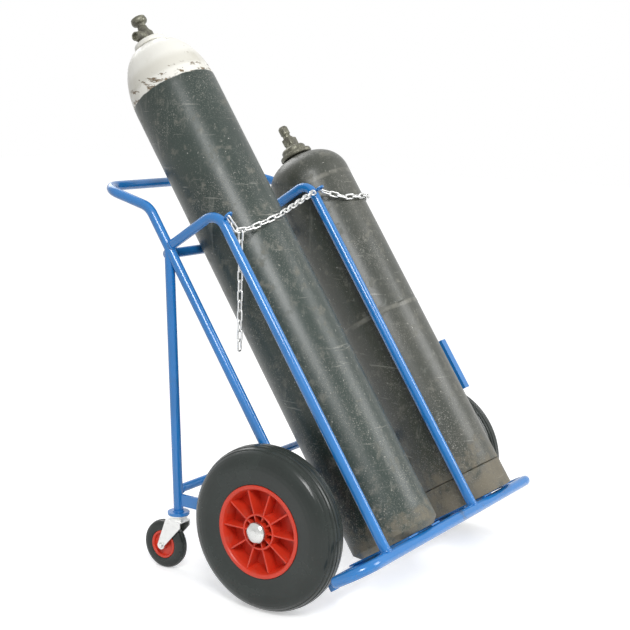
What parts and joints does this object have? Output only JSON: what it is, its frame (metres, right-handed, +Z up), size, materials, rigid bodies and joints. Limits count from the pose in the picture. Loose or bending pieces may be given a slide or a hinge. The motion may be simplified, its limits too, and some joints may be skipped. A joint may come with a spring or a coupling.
{
  "type": "welding cart",
  "caption": "Leaning tube cart for gas cylinders, with large wheels, trailing rear castors, foot bar, retaining hoops, safety chain and push handle.",
  "frame": {"origin": "on the floor below the middle of the cart's bounding box, cylinders included", "axes": "+Z up, +Y towards the push handle at the back, -Y towards the foot bar, X along the wheel axle"},
  "size_m": [0.942, 0.9396, 1.3999],
  "materials": {
    "blue_paint": "gloss",
    "zinc": "satin",
    "red_plastic": "satin",
    "tyre_rubber": "matte",
    "cylinder_paint": "worn satin",
    "bronze": "aged"
  },
  "bodies": {
    "frame": {"back_frame": "blue_paint", "left_hoop": "blue_paint", "mid_hoop": "blue_paint", "toe_bar": "blue_paint", "upper_cross_tube": "blue_paint", "lower_cross_tube": "blue_paint", "base_cross_tube": "blue_paint", "tall_base_strap_left": "blue_paint", "tall_base_strap_right": "blue_paint", "short_base_strap_left": "blue_paint", "short_base_strap_right": "blue_paint", "wheel_guard": "blue_paint", "axle_bracket_left": "blue_paint", "axle_bracket_right": "blue_paint", "rear_leg_left": "blue_paint", "rear_leg_right": "blue_paint", "leg_brace_left": "blue_paint", "leg_brace_right": "blue_paint", "leg_cross_tube": "blue_paint", "castor_flange_left": "blue_paint", "castor_flange_right": "blue_paint", "chain_eye_left": "blue_paint", "chain_eye_middle": "blue_paint", "chain_eye_right": "blue_paint", "axle": "zinc", "wheel_spacer_left": "zinc", "wheel_spacer_right": "zinc", "hub_cap_left": "zinc", "hub_cap_right": "zinc", "castor_head_left": "zinc", "castor_head_right": "zinc", "chain_span_left": "zinc", "chain_span_right": "zinc"},
    "wheel_left": {"main_tyre_left": "tyre_rubber", "wheel_centre_left": "red_plastic"},
    "castor_fork_left": {"castor_fork_left": "zinc", "castor_bolt_left": "zinc"},
    "castor_wheel_left": {"castor_hub_left": "red_plastic", "castor_tyre_left": "tyre_rubber"},
    "wheel_right": {"main_tyre_right": "tyre_rubber", "wheel_centre_right": "red_plastic"},
    "castor_fork_right": {"castor_fork_right": "zinc", "castor_bolt_right": "zinc"},
    "castor_wheel_right": {"castor_hub_right": "red_plastic", "castor_tyre_right": "tyre_rubber"},
    "tall_cylinder": {"tall_cylinder_shell": "cylinder_paint", "tall_cylinder_neck_ring": "cylinder_paint", "tall_cylinder_valve": "bronze"},
    "tall_handwheel": {"tall_cylinder_handwheel": "bronze"},
    "short_cylinder": {"short_cylinder_shell": "cylinder_paint", "short_cylinder_foot_ring": "cylinder_paint", "short_cylinder_neck_ring": "bronze", "short_cylinder_valve": "bronze"},
    "short_spindle": {"short_cylinder_spindle": "bronze"},
    "chain_tail": {"chain_tail": "zinc"}
  },
  "joints": [
    {"name": "wheel_left_spin", "type": "hinge", "parent": "frame", "child": "wheel_left", "pos_m": [-0.41, -0.16016, 0.2], "axis": [1, 0, 0], "continuous": true},
    {"name": "castor_left_swivel", "type": "hinge", "parent": "frame", "child": "castor_fork_left", "pos_m": [-0.338, 0.16784, 0.138], "axis": [0, 0, 1], "continuous": true},
    {"name": "castor_left_roll", "type": "hinge", "parent": "castor_fork_left", "child": "castor_wheel_left", "pos_m": [-0.338, 0.20884, 0.0625], "axis": [1, 0, 0], "continuous": true},
    {"name": "wheel_right_spin", "type": "hinge", "parent": "frame", "child": "wheel_right", "pos_m": [0.41, -0.16016, 0.2], "axis": [1, 0, 0], "continuous": true},
    {"name": "castor_right_swivel", "type": "hinge", "parent": "frame", "child": "castor_fork_right", "pos_m": [0.338, 0.16784, 0.138], "axis": [0, 0, 1], "continuous": true},
    {"name": "castor_right_roll", "type": "hinge", "parent": "castor_fork_right", "child": "castor_wheel_right", "pos_m": [0.338, 0.20884, 0.0625], "axis": [1, 0, 0], "continuous": true},
    {"name": "tall_cylinder_lift", "type": "slide", "parent": "frame", "child": "tall_cylinder", "axis": [0, 0.5519, 0.8339], "range_m": [0, 1]},
    {"name": "tall_valve_turn", "type": "hinge", "parent": "tall_cylinder", "child": "tall_handwheel", "pos_m": [-0.164, 0.44423, 1.37548], "axis": [0, 0.5519, 0.8339], "range_deg": [0, 720]},
    {"name": "short_cylinder_lift", "type": "slide", "parent": "frame", "child": "short_cylinder", "axis": [0, 0.5519, 0.8339], "range_m": [0, 1]},
    {"name": "short_valve_turn", "type": "hinge", "parent": "short_cylinder", "child": "short_spindle", "pos_m": [0.233, 0.25656, 1.09556], "axis": [0, 0.5519, 0.8339], "range_deg": [0, 450]},
    {"name": "chain_tail_swing", "type": "hinge", "parent": "frame", "child": "chain_tail", "pos_m": [-0.297, 0.01268, 0.87504], "axis": [1, 0, 0], "range_deg": [-40, 40]}
  ]
}
